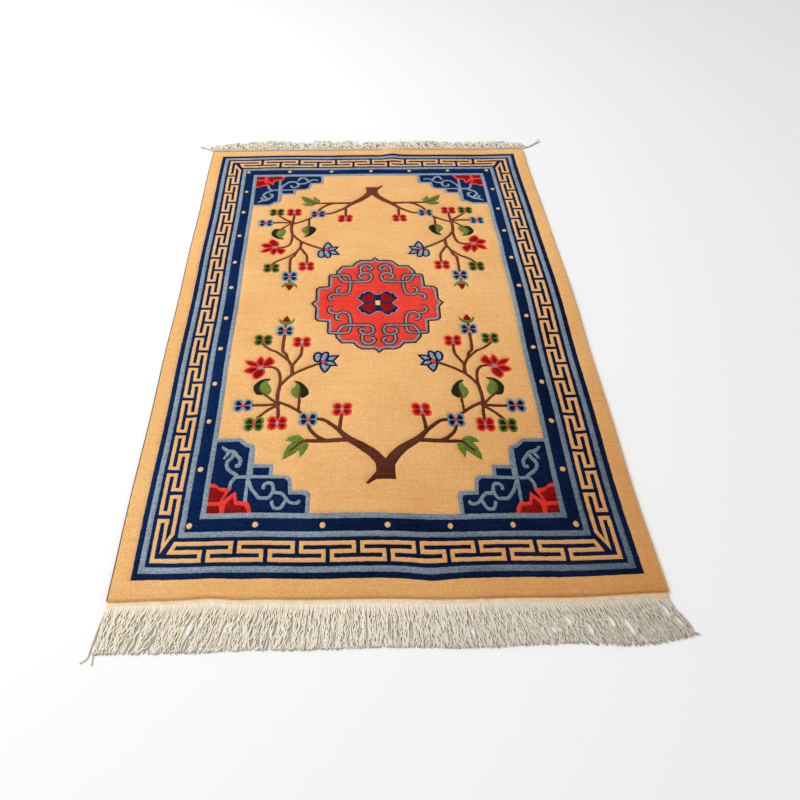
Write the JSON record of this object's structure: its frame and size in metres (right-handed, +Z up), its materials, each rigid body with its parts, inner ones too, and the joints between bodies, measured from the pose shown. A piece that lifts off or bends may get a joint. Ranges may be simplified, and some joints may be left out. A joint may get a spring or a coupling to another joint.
{
  "type": "tibetan rug",
  "caption": "Hand-knotted Tibetan wool rug, about 122 x 180 cm, with a camel field, a key-fret and pearl border, a round medallion, four flowering sprays and a cream fringe at both ends, lying flat.",
  "frame": {"origin": "on the floor, under the middle of the rug's bounding box with its fringes", "axes": "+X across the rug to the right, +Y along the rug away from the combed fringe, +Z up"},
  "size_m": [1.3531, 1.9926, 0.0185],
  "materials": {
    "wool_pile": "matte",
    "cotton_fringe": "matte"
  },
  "bodies": {
    "root": {"rug_body": "wool_pile", "fringe_near": "cotton_fringe", "fringe_far": "cotton_fringe"}
  },
  "joints": []
}
